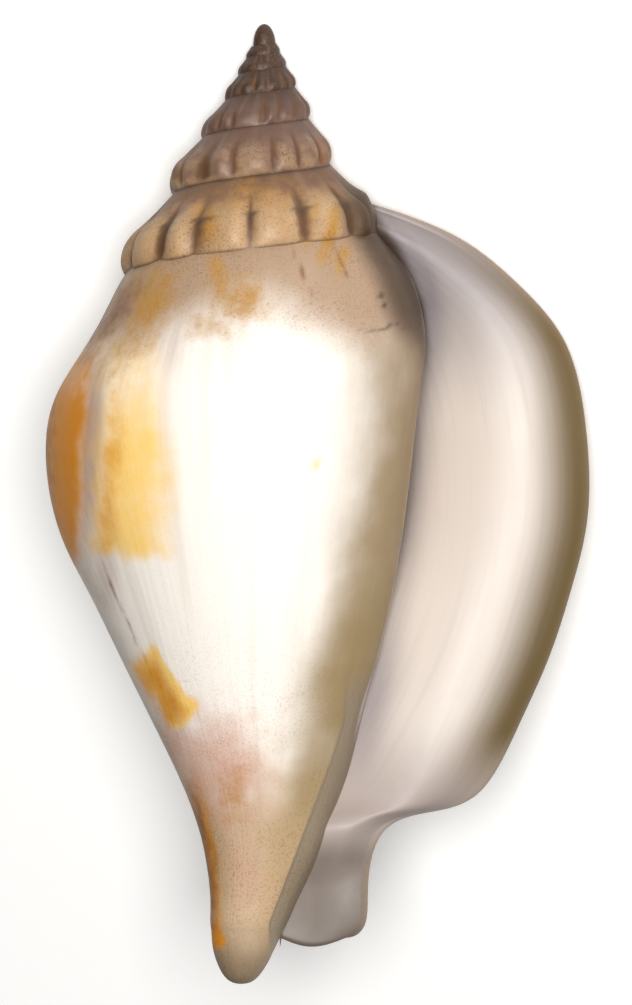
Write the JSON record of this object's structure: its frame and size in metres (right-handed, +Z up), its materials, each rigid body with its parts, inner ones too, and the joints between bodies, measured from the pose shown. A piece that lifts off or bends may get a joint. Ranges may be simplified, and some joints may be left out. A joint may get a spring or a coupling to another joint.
{
  "type": "conch shell",
  "caption": "Sea snail shell with a ribbed pointed spire, a smooth swollen body, a broad flared lip and a porcelain aperture, lying on its back.",
  "frame": {"origin": "on the ground under the middle of the shell as it lies on its back", "axes": "+Y towards the spire's end, which dips, +X towards the outer lip's side, +Z up"},
  "size_m": [0.0396, 0.0658, 0.0376],
  "materials": {
    "shell": "gloss"
  },
  "bodies": {
    "root": {"conch_shell": "shell"}
  },
  "joints": []
}
